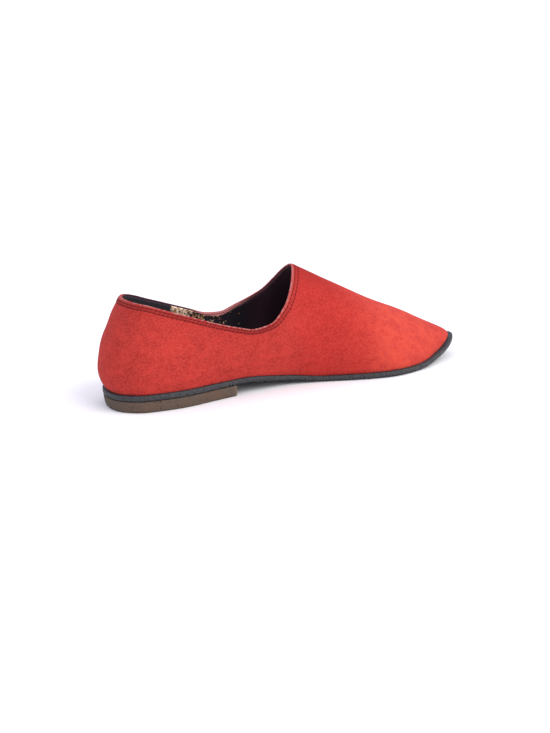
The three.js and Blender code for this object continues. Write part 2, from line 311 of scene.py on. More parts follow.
# The heel lift's edge, from its hidden top round to the ground face: inset and height
LIFT_EDGE = np.array([
    [5, 7.22],
    [0.3, 7.22],
    [0.05, 7.0],
    [0.1, 5.2],
    [0.25, 3.4],
    [0.42, 1.7],
    [0.62, 0.9],
    [1.0, 0.35],
    [1.6, 0.08],
    [2.4, 0],
])

# Where the shoe's axes stand in the frame
SOLE_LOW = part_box("outsole")[0]
WIDEST_MEDIAL = max(row[1] for row in PLAN_ROWS)
ORIGIN = np.array([SOLE_LOW.x, SOLE_LOW.y + WIDEST_MEDIAL * MM, 0.0])


def in_frame(point):
    """A point of the shoe's axes in the frame, in metres."""
    return tuple(np.asarray(point, float) * MM + ORIGIN)


# Grids and meshes


def unit(vectors):
    """Vectors scaled to a length of 1."""
    return vectors / np.maximum(np.linalg.norm(vectors, axis=-1, keepdims=True), 1e-12)


def grid_faces(rows, columns, closed=False, start=0, flip=False):
    """Quads of a grid of points numbered row by row. A closed grid joins its last column to its first."""
    r = np.arange(rows - 1)[:, None] * columns
    c = np.arange(columns if closed else columns - 1)[None]
    n = (c + 1) % columns
    quads = np.stack(np.broadcast_arrays(r + c, r + n, r + columns + n, r + columns + c), -1).reshape(-1, 4)
    return start + (quads[:, ::-1] if flip else quads)


def joined(*grids):
    """Several grids as one: points and faces. Each grid says whether it is closed and whether turned over."""
    starts = np.cumsum([0] + [points.size // 3 for points, _, _ in grids])
    faces = [
        grid_faces(*points.shape[:2], closed, start, flip)
        for (points, closed, flip), start in zip(grids, starts)
    ]
    return np.concatenate([points.reshape(-1, 3) for points, _, _ in grids]), np.concatenate(faces)


def like_faces(count, rows, columns):
    """Faces of a number of closed grids of one size, numbered one after another."""
    one = grid_faces(rows, columns, True, flip=True)
    return (one[None] + np.arange(count)[:, None, None] * rows * columns).reshape(-1, 4)


def weld(points):
    """The first of each set of points that coincide, and each point's place among those."""
    key = np.round(points * WELDS_PER_MM).astype(np.int64)
    _, first, place = np.unique(key, axis=0, return_index=True, return_inverse=True)
    return first, place.reshape(-1)


def normals_of(points, faces):
    """Unit normals of points, each the sum of its faces' normals; points that coincide share theirs."""
    first, place = weld(points)
    a, b, c, d = (points[faces[:, k]] for k in range(4))
    normal = np.cross(c - a, d - b)
    corners = place[faces]
    total = np.stack([
        sum(np.bincount(corners[:, k], normal[:, axis], len(first)) for k in range(4)) for axis in range(3)
    ], -1)
    return unit(total)[place]


def mesh_piece(name, points, faces, material, attributes=None):
    """A mesh object of points in millimetres. Points that coincide become one, and flat corners drop out."""
    points = np.asarray(points, float).reshape(-1, 3)
    first, place = weld(points)
    corners = place[faces]
    real = corners != np.roll(corners, -1, axis=1)
    whole = real.sum(1) >= 3
    corners, real = corners[whole], real[whole]
    loops = corners[real].astype(np.int32)
    starts = np.concatenate([[0], np.cumsum(real.sum(1))[:-1]]).astype(np.int32)
    mesh = bpy.data.meshes.new(name)
    mesh.vertices.add(len(first))
    mesh.vertices.foreach_set("co", (points[first] * MM + ORIGIN).astype(np.float32).ravel())
    mesh.loops.add(len(loops))
    mesh.loops.foreach_set("vertex_index", loops)
    mesh.polygons.add(len(starts))
    mesh.polygons.foreach_set("loop_start", starts)
    mesh.polygons.foreach_set("use_smooth", np.ones(len(starts), bool))
    for key, values in (attributes or {}).items():
        layer = mesh.attributes.new(key, "FLOAT", "POINT")
        layer.data.foreach_set("value", np.asarray(values, np.float32).ravel()[first])
    mesh.update(calc_edges=True)
    mesh.validate()
    mesh.materials.append(material)
    piece = bpy.data.objects.new(name, mesh)
    bpy.context.scene.collection.objects.link(piece)
    return piece


def nearest(points, targets):
    """Index of the nearest of the targets to each point."""
    parts = np.array_split(points, max(1, len(points) * len(targets) // PAIRS_AT_ONCE))
    return np.concatenate([((part[:, None] - targets[None]) ** 2).sum(-1).argmin(1) for part in parts])


def distance_to_loop(points, loop):
    """Distance of each point from a closed line of points, measured to its straight pieces."""
    along = np.roll(loop, -1, axis=0) - loop
    size = np.maximum((along ** 2).sum(-1), 1e-9)
    found = []
    for part in np.array_split(points, max(1, len(points) * len(loop) // PAIRS_AT_ONCE)):
        away = part[:, None] - loop[None]
        share = np.clip((away * along).sum(-1) / size, 0, 1)
        found.append(np.sqrt(((away - share[..., None] * along) ** 2).sum(-1).min(1)))
    return np.concatenate(found)


def arc_of(path):
    """Length along a path up to each of its points."""
    return np.concatenate([[0], np.cumsum(np.linalg.norm(np.diff(path, axis=0), axis=1))])


def along_path(at, arc, values):
    """Values of a path's points, taken at the given lengths along it."""
    return np.stack([np.interp(at, arc, column) for column in values.T], -1)


# The last: the shape that upper, lining and insole follow


def plan_half(x, side):
    """Half width of the outsole's plan on one side."""
    return np.where(side < 0, PLAN["medial"](turn(x)), PLAN["lateral"](turn(x)))


def feather(x):
    """Height of the line where the upper meets the sole."""
    return SOLE["ground"](x) + OUTSOLE + GAP


def bezier(p, t):
    """A cubic Bezier curve: the four control values weighted by the powers of t and 1 - t."""
    return (1 - t) ** 3 * p[0] + 3 * (1 - t) ** 2 * t * p[1] + 3 * (1 - t) * t * t * p[2] + t ** 3 * p[3]


def section(x, side):
    """The upper's section at each x: its hub, its plan direction, and the radii and heights of four controls.

    Sections are parallel between the two hubs, and stand in fans round the hubs at heel and toe.
    """
    hub_x = np.clip(x, HEEL_HUB, TOE_HUB)
    hub_y = LAST["shift"](hub_x)
    arm_x = x - hub_x
    arm_y = side * plan_half(x, side) - hub_y
    length = np.hypot(arm_x, arm_y)
    arm_x, arm_y = arm_x / length, arm_y / length
    reach = length - LAST["inset"](x)
    foot = feather(x)
    crown = LAST["crown"](hub_x)
    swell = np.where(side < 0, LAST["medial"](x), LAST["lateral"](x))
    inner = LAST["shoulder"](x) * reach
    slope = np.where(x > TOE_HUB, HUB_SLOPE * arm_x, 0)
    radii = (reach, reach + swell, inner, np.zeros_like(reach))
    heights = (foot, foot + LAST["rise"](x) * (crown - foot), crown + slope * inner, crown)
    return (hub_x, hub_y), (arm_x, arm_y), radii, heights


def wall(x, side, share, depth=0.0, fall=0.0):
    """Points of the last at a share of each section's curve, pulled in by depth and down by fall."""
    hub, arm, radii, heights = section(x, side)
    r = bezier(radii, share) - depth
    z = bezier(heights, share) - fall
    return np.stack(np.broadcast_arrays(hub[0] + arm[0] * r, hub[1] + arm[1] * r, z), -1)


def share_at_height(x, side, height):
    """Share of each section's curve at which it reaches a height, by halving."""
    heights = section(x, side)[3]
    low = np.zeros_like(x)
    high = np.ones_like(x)
    for _ in range(40):
        mid = (low + high) / 2
        below = bezier(heights, mid) < height
        low = np.where(below, mid, low)
        high = np.where(below, high, mid)
    return high


def rim_share(x, side, drop, throat):
    """Share at which each section meets the topline, and 1 ahead of the throat.

    The topline is lowered by drop along the quarters, and its front is moved forward to the given throat.
    """
    front = smooth(DIP + 20, throat, x)
    ahead = (throat - THROAT) * smooth(DIP, throat, x)
    height = np.where(side < 0, TOPLINE["medial"](x - ahead), TOPLINE["lateral"](x - ahead))
    fall = LAST["crown"](THROAT) - LAST["crown"](throat)
    lowered = height - drop * (1 - front) - fall * front
    return np.where(x < throat, share_at_height(x, side, lowered), 1.0)


def columns_of(fine, throat):
    """Places of the upper's columns: medial from heel to toe, then lateral back to the heel."""
    def count(n):
        return max(4, round(n * fine))

    vamp = throat + 8
    places = np.concatenate([
        unturn(np.linspace(0, turn(HEEL_HUB), count(44), endpoint=False)),
        np.linspace(HEEL_HUB, DIP, count(48), endpoint=False),
        throat - (throat - DIP) * (1 - np.linspace(0, 1, count(66), endpoint=False)) ** 1.7,
        np.linspace(throat, vamp, count(24), endpoint=False),
        np.linspace(vamp, TOE_HUB, count(60), endpoint=False),
        unturn(np.linspace(turn(TOE_HUB), 1, count(46))),
    ])
    x = np.concatenate([places, places[-2:0:-1]])
    side = np.concatenate([np.full(len(places), MEDIAL), np.full(len(places) - 2, LATERAL)])
    return x, side


class UpperSurface:
    """The upper's outer face as a grid: rows from foot to topline or ridge, columns round the shoe."""

    def __init__(self, fine, rows, drop, throat, foot_turns=()):
        x, side = columns_of(fine, throat)
        low, high = rows
        shares = np.concatenate([
            np.linspace(0, DENSE_ROWS, low, endpoint=False),
            np.linspace(DENSE_ROWS, 1, high),
        ])
        top = rim_share(x, side, drop(x), throat)
        body = wall(x[None], side[None], shares[:, None] * top[None])
        turned = np.array(foot_turns)[:, None] * math.pi / 2
        foot = wall(x[None], side[None], 0.0, TUCK * (1 - np.cos(turned)), GAP * np.sin(turned))
        self.x = x
        self.points = np.concatenate([foot, body])
        self.flat = self.points.reshape(-1, 3)
        faces = grid_faces(*self.points.shape[:2], closed=True)
        self.normals = normals_of(self.flat, faces).reshape(self.points.shape)
        ends = np.flatnonzero(x == throat)
        self.loop = np.concatenate([np.arange(ends[0] + 1), np.arange(ends[1] + 1, len(x))])

    def edge(self):
        """Distance of every point from the topline."""
        return distance_to_loop(self.flat, self.points[-1, self.loop]).reshape(self.points.shape[:2])

    def rim(self, points):
        """The topline of points laid out like these: its points, normals and directions off the edge."""
        rim = points[-1, self.loop]
        normal = self.normals[-1, self.loop]
        off = unit(np.cross(unit(np.roll(rim, -1, axis=0) - np.roll(rim, 1, axis=0)), normal))
        off *= np.sign((off * (rim - points[-2, self.loop])).sum(-1).mean())
        return rim, normal, off


# Materials. Scales of noise and cells are per metre. A change is given by the two values between which it
# happens, then by what it goes from and to. Places along the shoe and distances from the topline are in
# millimetres.

SOCKETS = {
    "color": "Base Color",
    "metallic": "Metallic",
    "roughness": "Roughness",
    "specular": "Specular IOR Level",
    "sheen": "Sheen Weight",
    "sheen_roughness": "Sheen Roughness",
    "sheen_tint": "Sheen Tint",
    "normal": "Normal",
}


class Finish:
    """A material under construction: nodes and links in few words, on the object's coordinates."""

    def __init__(self, name):
        self.material = bpy.data.materials.new(name)
        self.material.use_nodes = True
        self.nodes = self.material.node_tree.nodes
        self.shader = next(n for n in self.nodes if n.type == "BSDF_PRINCIPLED")
        self.coordinates = self.nodes.new("ShaderNodeTexCoord").outputs["Object"]

    def done(self, **values):
        """The material, once its shader has values or links for the sockets named in SOCKETS."""
        for name, value in values.items():
            self.give(self.shader.inputs[SOCKETS[name]], value)
        return self.material

    def give(self, socket, value):
        """Links a socket to another node's, or sets its value."""
        if isinstance(value, bpy.types.NodeSocket):
            self.material.node_tree.links.new(value, socket)
        elif value is not None:
            socket.default_value = value

    def node(self, kind, inputs, output=0, **options):
        """An output of a new node with the given inputs and options."""
        made = self.nodes.new(kind)
        for key, value in options.items():
            setattr(made, key, value)
        for key, value in inputs.items():
            self.give(made.inputs[key], value)
        return made.outputs[output]

    def noise(self, scale, detail, roughness, vector=None):
        """Soft noise, on stretched coordinates where they are given."""
        inputs = {
            "Vector": vector or self.coordinates, "Scale": scale, "Detail": detail, "Roughness": roughness,
        }
        return self.node("ShaderNodeTexNoise", inputs, "Fac")

    def cells(self, scale, output="Distance", feature="F1"):
        """Distance from the middle of the nearest cell, or another output of the cells."""
        inputs = {"Vector": self.coordinates, "Scale": scale}
        return self.node("ShaderNodeTexVoronoi", inputs, output, feature=feature)

    def stretched(self, scale, rotation=(0.0, 0.0, 0.0)):
        """Coordinates turned and stretched, for a noise with a grain."""
        inputs = {"Vector": self.coordinates, "Scale": scale, "Rotation": rotation}
        return self.node("ShaderNodeMapping", inputs)

    def attribute(self, name):
        """A value that the mesh holds for each of its points."""
        return self.node("ShaderNodeAttribute", {}, "Fac", attribute_name=name)

    def along(self, axis):
        """One of the object's coordinates, in metres."""
        return self.node("ShaderNodeSeparateXYZ", {0: self.coordinates}, axis)

    def math(self, operation, *values):
        """An operation on one or two values."""
        return self.node("ShaderNodeMath", dict(enumerate(values)), operation=operation)

    def plus(self, a, b):
        return self.math("ADD", a, b)

    def minus(self, a, b):
        return self.math("SUBTRACT", a, b)

    def times(self, a, b):
        return self.math("MULTIPLY", a, b)

    def most(self, a, b):
        return self.math("MAXIMUM", a, b)

    def between(self, value, low, high, start=0.0, stop=1.0):
        """A smooth change from start to stop as the value goes from low to high."""
        inputs = {"Value": value, "From Min": low, "From Max": high, "To Min": start, "To Max": stop}
        return self.node("ShaderNodeMapRange", inputs, interpolation_type="SMOOTHSTEP")

    def over(self, first, last, start=0.0, stop=1.0):
        """A smooth change from start to stop between two places along the shoe."""
        return self.between(self.along("X"), place_x(first), place_x(last), start, stop)

    def mix(self, share, a, b):
        """Two colours mixed, by the share of the second."""
        return self.node("ShaderNodeMix", {0: share, 6: a, 7: b}, 2, data_type="RGBA")

    def bump(self, height, distance, strength, normal=None):
        """A normal that follows a height, on top of another normal where one is given."""
        inputs = {"Height": height, "Distance": distance, "Strength": strength, "Normal": normal}
        return self.node("ShaderNodeBump", inputs)


def place_x(x):
    """The frame's x, in metres, of a place along the shoe."""
    return x * MM + float(ORIGIN[0])


def crown_z(x):
    """The height of the ridge, in metres, at a place along the shoe."""
    return float(LAST["crown"](x)) * MM


def scaled(shade, factor):
    """A lighter or darker form of a colour."""
    return tuple(part * factor for part in shade[:3]) + (1.0,)


def suede_finish(colours, row_gap):
    """Napped suede: soft patches, fine grain and short fibres.

    It is paler towards the toe, as painted light, deeper over the instep, and darker below the ridge, as
    painted shade. Along the topline come a darker stitched band, the paler fold with its rubbed top that is
    partly a painted highlight, and the fold's inside, a lit copy along the quarters and a shaded copy in the
    throat.
    """
    made = Finish("red_suede")
    edge = made.attribute("edge")
    row = made.attribute("row")
    clouds = made.noise(48, 3, 0.55)
    patches = made.noise(190, 4, 0.62)
    brush = made.noise(150, 3, 0.6, made.stretched((0.5, 1.0, 1.6), (0.0, 0.5, 0.0)))
    grain = made.noise(900, 3, 0.7)
    fibres = made.noise(700, 2, 0.6, made.stretched((1.0, 1.6, 4.0), (0.2, 0.5, 0.3)))
    dashes = made.noise(480, 2, 0.6)

    tone = made.plus(made.times(clouds, 0.3), made.times(patches, 0.35))
    tone = made.between(made.plus(tone, made.times(brush, 0.35)), 0.38, 0.62)
    worn = made.between(edge, 3.0, 22.0, 0.45, 0.0)
    tone = made.times(tone, made.minus(1.0, worn))
    # Painted light: the suede turns paler towards the toe, standing in for light that falls from the toe
    # side.
    front = made.times(made.over(143, 208), made.over(194, 222, 1.0, 0.75))
    dark = made.mix(front, colours.suede_shade, colours.suede)
    light = made.mix(front, colours.suede, colours.suede_toe_painted_light)
    red = made.mix(tone, dark, light)

    instep = made.times(made.over(112, 138), made.over(162, 190, 1.0, 0.0))
    red = made.mix(made.times(instep, 0.5), red, colours.suede_deep)
    nap = made.times(made.between(front, 0.0, 1.0, 0.42, 0.66), made.between(instep, 0.0, 1.0, 1.0, 0.85))
    red = made.mix(made.times(made.between(grain, 0.4, 0.6), nap), red, colours.suede_nap)
    # Painted shade: a band below the ridge is darkened towards the suede's shade colour, where the surface
    # turns away from the light.
    ridge_end = 190
    ridge = made.node("ShaderNodeMapRange", {
        "Value": made.along("X"), "From Min": place_x(THROAT), "From Max": place_x(ridge_end),
        "To Min": crown_z(THROAT), "To Max": crown_z(ridge_end),
    })
    below = made.minus(ridge, made.along("Z"))
    crest = made.times(made.between(below, 0.001, 0.014, 0.9, 0.0), made.over(146, 172, 1.0, 0.0))
    red = made.mix(crest, red, colours.suede_shade)

    beyond = made.minus(made.minus(edge, row), made.over(DIP, THROAT, row_gap, row_gap * THROAT_GAP))
    pressed = made.times(made.over(72, 90, 0.45, 0.65), made.over(102, 120, 1.0, 0.15))
    pressed = made.times(pressed, made.between(beyond, 0.1, 1.3, 1.0, 0.0))
    red = made.mix(pressed, red, colours.stitched_band)
    shown = made.most(made.over(4, 24, 0.8, 0.15), made.over(108, 122, 0.0, 0.8))
    fold = made.between(made.math("DIVIDE", edge, row), 0.55, 0.85, 1.0, 0.0)
    red = made.mix(made.times(fold, shown), red, colours.fold)
    # Pale dashes along the lip's top: a rubbed, paler edge that is partly a painted highlight where the lip
    # faces the light.
    off_top = made.math("ABSOLUTE", made.plus(edge, 0.5))
    rubbed = made.times(made.between(off_top, 0.3, 0.7, 0.9, 0.0), made.between(dashes, 0.42, 0.56))
    red = made.mix(rubbed, red, colours.fold_rubbed_highlight)

    # The fold's inside: a lit copy, paler than the suede to stand in for light where it lies in shadow,
    # giving way to a darker shaded copy in the throat; painted light and painted shade.
    inside = made.mix(made.over(104, 120), colours.fold_inside_painted_light, colours.fold_inside_painted_shade)
    inside = made.mix(made.over(68, 86), colours.lining, inside)
    covered = made.times(made.over(16, 32), made.over(70, 84, 1.0, 0.0))
    past = made.minus(edge, made.between(covered, 0.0, 1.0, -1.5, -0.75))
    red = made.mix(made.between(past, -0.25, 0.25, 0.97, 0.0), red, inside)
    near = made.between(made.math("ABSOLUTE", made.minus(edge, row)), 0.12, 0.5, 0.45, 0.0)
    far = made.between(made.math("ABSOLUTE", beyond), 0.12, 0.5, 0.34, 0.0)
    seam = made.times(made.most(near, far), made.between(dashes, 0.38, 0.58, 1.0, 0.45))
    red = made.mix(seam, red, colours.thread)

    height = made.plus(made.times(grain, 0.7), made.times(fibres, 0.4))
    soft = made.bump(made.plus(patches, brush), 0.0006, 0.3)
    return made.done(
        color=red, roughness=0.95, specular=0.08, sheen=0.04, sheen_roughness=0.5,
        sheen_tint=(1.0, 0.62, 0.55, 1.0), normal=made.bump(height, 0.0003, 0.6, soft),
    )


def thread_finish(colours):
    """Waxed thread: dark red with a fine twist."""
    made = Finish("dark_red_thread")
    twist = made.noise(2500, 1, 0.5)
    return made.done(
        color=made.mix(twist, colours.thread, scaled(colours.thread, 1.7)),
        roughness=0.85, specular=0.08, normal=made.bump(twist, 0.0001, 0.4),
    )


def lining_finish(colours):
    """Lining cloth: dark round the heel, gold flecks that thin out and grow duller along the quarters, partly
    as painted shade, and a painted red reflection of the suede in the vamp.
    """
    made = Finish("lining_cloth")
    cell = made.cells(1050, "Color")
    pick, shine = (made.node("ShaderNodeSeparateColor", {0: cell}, channel) for channel in (0, 1))
    start = made.over(SEAM - SEAM_STEP, SEAM + SEAM_STEP)
    fade = made.over(SEAM + 8, SEAM + 15, 0.92, 0.4)
    rest = made.over(SEAM + 12, SEAM + 58, 1.0, 0.0)
    density = made.times(made.times(start, fade), made.math("POWER", rest, 1.6))
    fleck = made.math("LESS_THAN", pick, density)
    weave = made.noise(1300, 2, 0.6)
    throat = made.over(110, 130)
    # Painted reflection: the vamp's lining colour carries a red tint that stands in for light thrown back by
    # the red suede.
    base = made.mix(start, colours.lining_heel, made.mix(throat, colours.lining_deep, colours.lining))
    deep = made.times(start, made.minus(1.0, throat))
    raised = made.times(weave, made.between(deep, 0.0, 1.0, 0.5, 0.1))
    cloth = made.mix(raised, base, colours.lining_nap)
    # Flecks further in along the quarters turn duller as painted shade, on top of the flecks that are duller
    # by chance.
    painted_shade_further_in = made.over(SEAM + 9, SEAM + 18)
    dull_and_shaded = made.times(painted_shade_further_in, made.between(shine, 0.1, 0.3, 0.55, 1.0))
    dull_and_shaded = made.most(made.between(shine, 0.3, 0.9), dull_and_shaded)
    gold = made.mix(dull_and_shaded, colours.glitter, colours.glitter_shade)
    height = made.plus(made.times(weave, 0.35), made.times(shine, fleck))
    return made.done(
        color=made.mix(fleck, cloth, gold), metallic=made.times(fleck, 0.25),
        roughness=made.minus(0.85, made.times(fleck, 0.45)), specular=0.3,
        normal=made.bump(height, 0.0003, 0.6),
    )


def sock_finish(colours):
    """Insole cover: dark grained cloth, rubbed smoother and greyer where a foot presses."""
    made = Finish("sock_cloth")
    rub = made.noise(26, 3, 0.6)
    return made.done(
        color=made.mix(made.between(rub, 0.45, 0.7), colours.sock, colours.sock_rubbed),
        roughness=made.between(rub, 0.4, 0.7, 0.85, 0.6), specular=0.3,
        normal=made.bump(made.cells(900), 0.0002, 0.5),
    )


def rubber_finish(colours):
    """Moulded rubber: blue-black and pebbled, with painted shade in the rib grooves, the bare ring and
    between the pebbles, and pale dust in places.
    """
    made = Finish("pebbled_rubber")
    pebbles = made.cells(820, feature="SMOOTH_F1")
    dust = made.noise(120, 5, 0.65)
    base = made.mix(made.between(dust, 0.52, 0.8), colours.rubber, colours.rubber_dust)
    # Painted shade between the pebbles, and in the rib grooves and the bare ring by the mesh's mask.
    base = made.mix(made.between(pebbles, 0.3, 0.7, 0.0, 0.6), base, colours.rubber_groove_shade)
    groove_shade_mask = made.between(made.attribute("groove_shade_mask"), 0.15, 0.85, 0.0, 0.85)
    height = made.minus(made.times(made.noise(2200, 2, 0.6), 0.2), pebbles)
    return made.done(
        color=made.mix(groove_shade_mask, base, colours.rubber_groove_shade),
        roughness=made.between(dust, 0.35, 0.7, 0.5, 0.75), specular=0.4,
        normal=made.bump(height, 0.0008, 0.9),
    )


def board_finish(colours):
    """Heel board: brown fibre, scuffed blue-black in the middle, with pits and a tan front edge."""
    made = Finish("heel_fibre_board")
    cloud = made.noise(60, 4, 0.6)
    grit = made.noise(750, 3, 0.7)
    fibre = made.noise(500, 3, 0.6, made.stretched((1.0, 1.0, 5.0)))
    scuff = made.plus(made.attribute("scuff"), made.times(made.minus(cloud, 0.5), 1.1))
    dark = made.times(made.between(scuff, 0.15, 0.85), made.between(grit, 0.3, 0.62, 1.0, 0.55))
    brown = made.mix(made.between(cloud, 0.35, 0.65), colours.heel, colours.heel_rim)
    brown = made.mix(made.times(fibre, 0.35), brown, colours.heel_pale)
    brown = made.mix(dark, brown, colours.heel_worn)
    brown = made.mix(made.between(grit, 0.3, 0.5, 0.55, 0.0), brown, colours.heel_pit)
    few = made.between(made.noise(45, 2, 0.5), 0.5, 0.6)
    pits = made.times(made.between(made.cells(260), 0.1, 0.2, 1.0, 0.0), few)
    brown = made.mix(pits, brown, colours.heel_pit)
    front = made.between(made.attribute("breast"), 0.6, 1.6, 0.8, 0.0)
    front = made.times(front, made.between(grit, 0.35, 0.6, 0.5, 1.0))
    height = made.plus(made.times(grit, 0.8), made.times(pits, -2.0))
    return made.done(
        color=made.mix(front, brown, colours.heel_pale),
        roughness=made.between(scuff, 0.0, 1.0, 0.85, 0.6), specular=0.3,
        normal=made.bump(height, 0.0005, 0.6),
    )


def jute_finish(colours):
    """Jute braid: pale twisted fibre in ragged patches where the black coat has worn off, pale flecks, and
    painted shade between the strands.
    """
    made = Finish("jute_braid")
    ragged = made.noise(330, 3, 0.6, made.stretched((1.0, 0.45, 1.0), (0.0, 0.0, 0.6)))
    fibre = made.noise(1100, 3, 0.65, made.stretched((1.0, 0.4, 1.0), (0.0, 0.0, 0.7)))
    grit = made.noise(1300, 3, 0.7)
    flecks = made.noise(420, 3, 0.65, made.stretched((0.5, 1.0, 1.0), (0.0, 0.0, 0.5)))
    crest = made.attribute("crest")
    pale = made.mix(made.between(fibre, 0.35, 0.6), colours.jute_shade, colours.jute)
    black = made.mix(made.between(grit, 0.4, 0.7), colours.jute_coat, colours.jute_dust)
    # Painted shade: the coat is darkened between the strands, away from their crests.
    black = made.mix(made.between(crest, 0.05, 0.3, 0.85, 0.0), black, colours.rubber_groove_shade)
    bare = made.plus(made.attribute("bare"), made.times(made.minus(ragged, 0.5), 1.9))
    worn = made.times(made.between(bare, 0.08, 0.16), made.between(crest, 0.1, 0.2))
    speck = made.times(made.between(flecks, 0.61, 0.66), made.between(crest, 0.2, 0.5))
    share = made.most(worn, made.times(speck, 0.75))
    height = made.plus(made.times(fibre, 0.7), made.times(grit, 0.5))
    return made.done(
        color=made.mix(share, black, pale), roughness=made.between(share, 0.0, 1.0, 0.6, 0.92),
        specular=0.25, normal=made.bump(height, 0.0006, 0.7),
    )


def floor_finish(colours):
    """Studio paper: nearly white, with a trace of grain."""
    made = Finish("studio_paper")
    grain = made.noise(14, 2, 0.5)
    return made.done(
        color=made.mix(grain, colours.floor, scaled(colours.floor, 0.985)), roughness=0.9, specular=0.1,
    )


# Pieces of the upper


def fold_at(sizes, x):
    """Thickness of the fold along the topline, which grows towards the back of the heel."""
    return (sizes.fold_thickness + sizes.heel_fold * (1 - smooth(3, 27, x))) / MM


def rim_rise(sizes, x):
    """How far the fold's rounded top stands above the upper's outer edge."""
    thin = sizes.fold_thickness / MM
    return 0.5 * thin + 0.15 * (fold_at(sizes, x) - thin)


def stitch_rows(sizes, x):
    """Distances of both rows of stitches from the topline: least at its dip, more at heel and throat."""
    spread = 1 - smooth(0, 75, x) + smooth(DIP, THROAT, x)
    near = (sizes.row_near + sizes.row_spread * spread) / MM
    return near, near + sizes.row_gap / MM * (1 + (THROAT_GAP - 1) * smooth(DIP, THROAT, x))


def ripple(points):
    """Soft uneven swells of a worn upper, as a sum of a few crossed sine waves, between -1 and 1."""
    x, y, z = np.moveaxis(points, -1, 0)
    waves = np.sin(0.11 * x + 0.19 * z + 0.6) * np.sin(0.07 * y - 0.13 * z + 1.1)
    waves = waves + 0.6 * np.sin(0.23 * x - 0.17 * y + 0.21 * z)
    return waves / 1.6


def upper_skin(sizes):
    """The upper's outer grid with its swells and stitch lines: the grid, its points and their edge distances.

    Its topline lies back by the rise of the rounded rim, so that the rim ends where the solid does.
    """
    grid = UpperSurface(
        fine=1.0, rows=(34, 44), drop=lambda x: rim_rise(sizes, x), throat=RIM_THROAT, foot_turns=FOOT_TURNS
    )
    edge = grid.edge()
    rows = stitch_rows(sizes, grid.points[..., 0])
    pulled = sum(bell(edge - row, PULL_WIDTH) for row in rows)
    padded = bell(edge - rows[0] / 2, PADDING_WIDTH) + bell(edge - sum(rows) / 2, PADDING_WIDTH)
    swell = PADDING * padded - STITCH_PULL * pulled
    away = smooth(3, 12, edge)
    rise = np.clip((grid.points[..., 2] - feather(grid.x)) / 12, 0, 1)
    swell = swell * smooth(0, 0.6, edge) + UNEVENNESS * ripple(grid.points) * away * rise
    return grid, grid.points + swell[..., None] * grid.normals, edge


def build_upper(sizes, material):
    """The suede as a closed shell: the outer face, an inner face along its normals, a round rim and a foot.

    The wall is thicker along the topline, where the suede is folded over. The rim is half an oval in the
    plane of the normal and the direction that leads off the edge, flattened where it is thick.
    """
    grid, outer, edge = upper_skin(sizes)
    suede = sizes.suede / MM
    fold = fold_at(sizes, outer[..., 0])
    thick = suede + (fold - suede) * (1 - smooth(0.5, 0.7 + fold, edge))
    above_foot = slice(len(FOOT_TURNS), None)
    inner = (outer - thick[..., None] * grid.normals)[above_foot]
    rim, normal, off = grid.rim(outer)
    half = thick[-1, grid.loop][:, None] / 2
    angles = np.linspace(0, math.pi, LIP_ROWS)[:, None, None]
    rise = rim_rise(sizes, rim[:, 0])[:, None]
    lip = rim - half * normal + half * np.cos(angles) * normal + rise * np.sin(angles) ** 0.7 * off
    foot = np.stack([inner[0], outer[0]])
    points, faces = joined((outer, True, False), (inner, True, True), (lip, True, False), (foot, True, False))
    edges = np.concatenate([
        edge.ravel(),
        -LIP_EDGE - edge[above_foot].ravel(),
        np.repeat(-np.linspace(0, LIP_EDGE, LIP_ROWS), len(rim)),
        np.full(foot.size // 3, FAR_EDGE),
    ])
    rows = stitch_rows(sizes, points[:, 0])
    return mesh_piece("suede_upper", points, faces, material, {"edge": edges, "row": rows[0]})


def build_lining(sizes, material):
    """The lining as a closed sheet: two faces along the outer face's normals, joined at top and foot."""
    def drop(x):
        return rim_rise(sizes, x) + LINING_DROP + LINING_DIP * smooth(70, 92, x)

    grid = UpperSurface(fine=0.6, rows=(30, 8), drop=drop, throat=LINING_THROAT)
    near = sizes.suede / MM + LINING_AIR
    step = 1 - smooth(SEAM - SEAM_STEP, SEAM + SEAM_STEP, grid.points[..., 0])
    far = near + sizes.lining / MM + HEEL_LINING * step
    outer = grid.points - near * grid.normals
    inner = grid.points - far[..., None] * grid.normals
    rim = np.stack([outer[-1, grid.loop], inner[-1, grid.loop]])
    foot = np.stack([inner[0], outer[0]])
    points, faces = joined((outer, True, False), (inner, True, True), (rim, True, False), (foot, True, False))
    return mesh_piece("lining", points, faces, material)


def build_stitches(sizes, material):
    """Rows of stitches round the topline: short threads that dip into the suede at both ends.

    Each row lies at a set distance from the topline: that far along the surface, then set back onto it. A
    thread is a circle carried along it, whose radius and height fall to nothing at the ends.
    """
    grid, skin, _ = upper_skin(sizes)
    flat = skin.reshape(-1, 3)
    normals = grid.normals.reshape(-1, 3)
    rim, _, off = grid.rim(grid.points)
    rings, sides = 7, 6
    t = np.linspace(-1, 1, rings)
    phi = np.linspace(0, 2 * math.pi, sides, endpoint=False)
    radius = sizes.thread / MM / 2 * np.sqrt(1 - t ** 4)[None, :, None, None]
    height = (THREAD_ARCH * (1 - t ** 2) - THREAD_SINK)[None, :, None]
    threads = []
    for row in stitch_rows(sizes, rim[:, 0]):
        line = rim - row[:, None] * off
        place = nearest(line, flat)
        line = line - ((line - flat[place]) * normals[place]).sum(-1, keepdims=True) * normals[place]
        closed = np.concatenate([line, line[:1]])
        up = np.concatenate([normals[place], normals[place][:1]])
        arc = arc_of(closed)
        count = round(arc[-1] / (sizes.stitch_pitch / MM))
        middle = (np.arange(count) + 0.5) * arc[-1] / count
        at = np.clip(middle[:, None] + t * sizes.stitch_length / MM / 2, 0, arc[-1])
        spine = along_path(at, arc, closed)
        lift = unit(along_path(at, arc, up))
        across = unit(np.cross(lift, unit(np.gradient(spine, axis=1))))
        ring = np.cos(phi)[:, None] * across[:, :, None] + np.sin(phi)[:, None] * lift[:, :, None]
        threads.append((spine + height * lift)[:, :, None] + radius * ring)
    threads = np.concatenate(threads)
    return mesh_piece("collar_stitches", threads, like_faces(len(threads), rings, sides), material)


